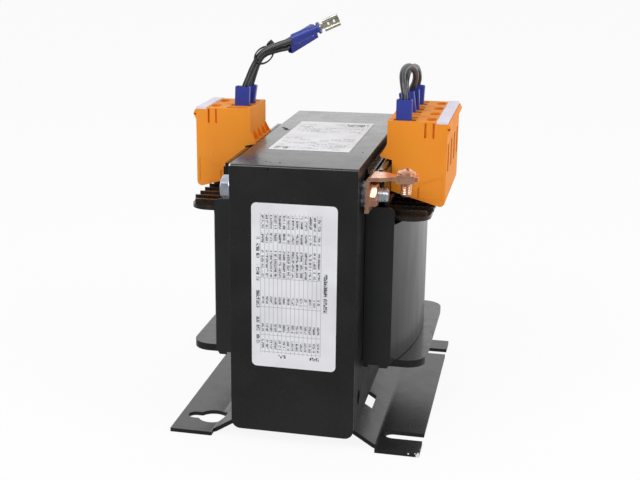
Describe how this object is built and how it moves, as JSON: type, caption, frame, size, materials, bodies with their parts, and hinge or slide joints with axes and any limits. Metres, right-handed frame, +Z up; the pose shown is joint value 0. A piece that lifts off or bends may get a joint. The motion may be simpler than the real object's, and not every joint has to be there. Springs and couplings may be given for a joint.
{
  "type": "mains transformer",
  "caption": "Laminated mains transformer under a folded black steel hood on pressed feet, with orange clamp and push-on terminal blocks on both sides and factory-fitted jumper wires.",
  "frame": {"origin": "On the base plane that both soles rest on, below the centre of the core.", "axes": "+X along the lamination stack towards the side with the larger terminal block and the earth bracket, +Y from the front of the hood to its rear, +Z up."},
  "size_m": [0.168, 0.1963, 0.2519],
  "materials": {
    "black_lacquer": "satin",
    "core_lacquer": "satin",
    "former_plastic": "matte",
    "copper_enamel": "satin",
    "insulation_sheet": "matte",
    "wrap_sheet": "satin",
    "zinc_steel": "satin",
    "copper_plating": "satin",
    "orange_plastic": "satin",
    "tinned_brass": "satin",
    "marker_plastic": "matte",
    "blue_plastic": "satin",
    "wire_sheath": "gloss",
    "tie_plastic": "satin",
    "label_paper": "satin"
  },
  "bodies": {
    "root": {"core_e_stack": "core_lacquer", "core_i_stack": "core_lacquer", "hood": "black_lacquer", "foot_right": "black_lacquer", "foot_left": "black_lacquer", "coil_former": "former_plastic", "primary_winding": "copper_enamel", "winding_insulation": "insulation_sheet", "secondary_winding": "copper_enamel", "coil_wrap_right": "wrap_sheet", "coil_wrap_left": "wrap_sheet", "lead_outs_right": "copper_enamel", "lead_outs_left": "copper_enamel", "clamp_bolts": "zinc_steel", "head_washers": "zinc_steel", "lock_washers": "zinc_steel", "earth_nut": "copper_plating", "rear_nut": "zinc_steel", "earth_bracket": "copper_plating", "earth_clamp": "copper_plating", "earth_screw": "copper_plating", "terminal_housing_right": "orange_plastic", "terminal_housing_left": "orange_plastic", "contact_bars_right": "tinned_brass", "contact_bars_left": "tinned_brass", "pole_screws_right": "zinc_steel", "pole_screws_left": "zinc_steel", "wire_clamps_right": "zinc_steel", "wire_clamps_left": "zinc_steel", "marker_strip_right": "marker_plastic", "marker_strip_left": "marker_plastic", "receptacle_sleeves_right": "blue_plastic", "receptacle_sleeves_left": "blue_plastic", "receptacles_right": "tinned_brass", "receptacles_left": "tinned_brass", "jumper_front": "wire_sheath", "jumper_rear": "wire_sheath", "free_lead_upper": "wire_sheath", "free_lead_lower": "wire_sheath", "cable_tie": "tie_plastic", "lead_end_sleeve_upper": "blue_plastic", "lead_end_sleeve_lower": "blue_plastic", "lead_end_receptacle_upper": "tinned_brass", "lead_end_receptacle_lower": "tinned_brass", "front_label": "label_paper", "top_label": "label_paper"}
  },
  "joints": []
}
